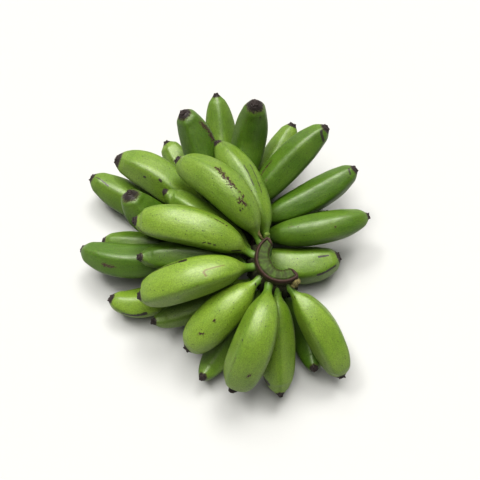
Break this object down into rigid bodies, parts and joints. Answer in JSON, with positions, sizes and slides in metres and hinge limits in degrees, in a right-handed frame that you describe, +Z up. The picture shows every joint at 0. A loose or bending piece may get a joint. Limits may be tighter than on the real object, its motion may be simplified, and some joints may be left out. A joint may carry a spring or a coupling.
{
  "type": "bunch of bananas",
  "caption": "Bunch of short green bananas: one hand of fingers lies face down over another on its back, fanning all round a cut crescent crown.",
  "frame": {"origin": "middle of the bunch's box in plan, at the height of its lowest point, on the surface that it lies on", "axes": "+Z up from the surface; +Y from the low fingers of the upper hand, across the fan, to the raised tips of the lower hand; +X towards the side where the upper crown stands"},
  "size_m": [0.2906, 0.3146, 0.1193],
  "materials": {
    "peel": "green banana peel: satin, soft ridges, pale on the lit backs, dark blunt flower ends, a few brown scars",
    "crown": "freshly cut crown: dull pale green face with a brown rim"
  },
  "bodies": {
    "root": {"upper_crown": "crown", "lower_crown": "crown", "upper_finger_1": "peel", "upper_finger_2": "peel", "upper_finger_3": "peel", "upper_finger_4": "peel", "upper_finger_5": "peel", "upper_finger_6": "peel", "upper_finger_7": "peel", "upper_finger_8": "peel", "upper_finger_9": "peel", "upper_finger_10": "peel", "upper_finger_11": "peel", "upper_finger_12": "peel", "upper_finger_13": "peel", "lower_finger_1": "peel", "lower_finger_2": "peel", "lower_finger_3": "peel", "lower_finger_4": "peel", "lower_finger_5": "peel", "lower_finger_6": "peel", "lower_finger_7": "peel", "lower_finger_8": "peel", "lower_finger_9": "peel", "lower_finger_10": "peel", "lower_finger_11": "peel", "lower_finger_12": "peel", "lower_finger_13": "peel", "lower_finger_14": "peel", "lower_finger_15": "peel", "lower_finger_16": "peel"}
  },
  "joints": []
}
